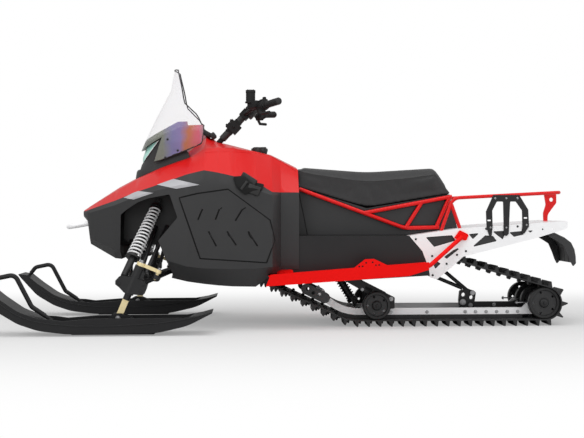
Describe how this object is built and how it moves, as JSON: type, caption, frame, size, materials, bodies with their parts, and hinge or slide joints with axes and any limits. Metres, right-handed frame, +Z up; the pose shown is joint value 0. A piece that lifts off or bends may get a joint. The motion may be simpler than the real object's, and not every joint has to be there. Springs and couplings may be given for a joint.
{
  "type": "snowmobile",
  "caption": "Red and black snowmobile with a lugged track, twin skis, tall windshield, long seat and rear rack.",
  "frame": {"origin": "bottom centre of the whole machine, on the snow line under the middle of its length", "axes": "+X forward, towards the ski tips; +Y to the rider's left; +Z up"},
  "size_m": [3.3177, 1.184, 1.4732],
  "materials": {
    "red_paint": "gloss",
    "red_shell": "gloss",
    "black_shell": "satin",
    "grey_shell": "satin",
    "ski_plastic": "gloss",
    "white_paint": "gloss",
    "silver_alloy": "satin",
    "gold_alloy": "satin",
    "black_metal": "satin",
    "spring_white": "gloss",
    "track_rubber": "matte",
    "grip_rubber": "matte",
    "seat_cover": "matte",
    "tinted_screen": "gloss",
    "lamp_glass": "gloss",
    "flap_rubber": "matte"
  },
  "bodies": {
    "chassis": {"track": "track_rubber", "skid_rails": "silver_alloy", "slide_shoes": "black_metal", "rear_wheels": "track_rubber", "mid_wheels": "track_rubber", "carrier_wheels": "track_rubber", "drive_axle": "black_metal", "skid_front_arm": "black_metal", "skid_shock": "silver_alloy", "skid_rear_arm": "black_metal", "tunnel_top": "white_paint", "tunnel_sides": "black_metal", "rear_plates": "white_paint", "running_boards": "red_paint", "seat": "seat_cover", "seat_base": "black_shell", "seat_frame": "red_paint", "rack_loop": "red_paint", "rack_plate": "black_metal", "tunnel_liners": "black_shell", "snow_flap": "flap_rubber", "hood": "red_shell", "nose_cowl": "black_shell", "side_panel_left": "black_shell", "side_panel_right": "black_shell", "rear_panels": "black_shell", "belly_pan": "black_shell", "silver_inserts": "grey_shell", "panel_latches": "black_shell", "windshield": "tinted_screen", "headlamp_lens": "lamp_glass", "headlamp_housing": "black_shell", "gauge_pod": "black_shell", "fuel_cap": "black_shell", "front_bumper": "silver_alloy", "engine": "silver_alloy", "front_frame": "black_metal", "leg_housings": "black_metal", "wishbones": "black_metal", "front_shocks": "black_metal", "front_springs": "spring_white"},
    "handlebar": {"steering_post": "black_metal", "handlebar": "black_metal", "grips": "grip_rubber", "bar_controls": "black_metal"},
    "spindle_left": {"spindle_left": "gold_alloy"},
    "spindle_right": {"spindle_right": "gold_alloy"},
    "tie_rod_left": {"tie_rod_left": "black_metal"},
    "tie_rod_right": {"tie_rod_right": "black_metal"},
    "ski_left": {"ski_left": "ski_plastic", "ski_loop_left": "ski_plastic"},
    "ski_right": {"ski_right": "ski_plastic", "ski_loop_right": "ski_plastic"}
  },
  "joints": [
    {"name": "steering", "type": "hinge", "parent": "chassis", "child": "handlebar", "pos_m": [0.393, 0, 1.07], "axis": [-0.682, 0, 0.7314], "range_deg": [-30, 30]},
    {"name": "spindle_steer_left", "type": "hinge", "parent": "chassis", "child": "spindle_left", "pos_m": [0.931, 0.5, 0.088], "axis": [-0.3875, 0, 0.9219], "range_deg": [-24, 24]},
    {"name": "tie_rod_left", "type": "hinge", "parent": "spindle_left", "child": "tie_rod_left", "pos_m": [0.73263, 0.5, 0.30184], "axis": [-0.3875, 0, 0.9219], "range_deg": [-24, 24]},
    {"name": "ski_pivot_left", "type": "hinge", "parent": "spindle_left", "child": "ski_left", "pos_m": [0.931, 0.5, 0.088], "axis": [0, 1, 0], "range_deg": [-14, 8]},
    {"name": "spindle_steer_right", "type": "hinge", "parent": "chassis", "child": "spindle_right", "pos_m": [0.931, -0.5, 0.088], "axis": [-0.3875, 0, 0.9219], "range_deg": [-24, 24]},
    {"name": "tie_rod_right", "type": "hinge", "parent": "spindle_right", "child": "tie_rod_right", "pos_m": [0.73263, -0.5, 0.30184], "axis": [-0.3875, 0, 0.9219], "range_deg": [-24, 24]},
    {"name": "ski_pivot_right", "type": "hinge", "parent": "spindle_right", "child": "ski_right", "pos_m": [0.931, -0.5, 0.088], "axis": [0, 1, 0], "range_deg": [-14, 8]}
  ],
  "couplings": [
    {"joint": "spindle_steer_left", "follows": "steering", "ratio": 0.8},
    {"joint": "tie_rod_left", "follows": "steering", "ratio": -0.8},
    {"joint": "spindle_steer_right", "follows": "steering", "ratio": 0.8},
    {"joint": "tie_rod_right", "follows": "steering", "ratio": -0.8}
  ]
}
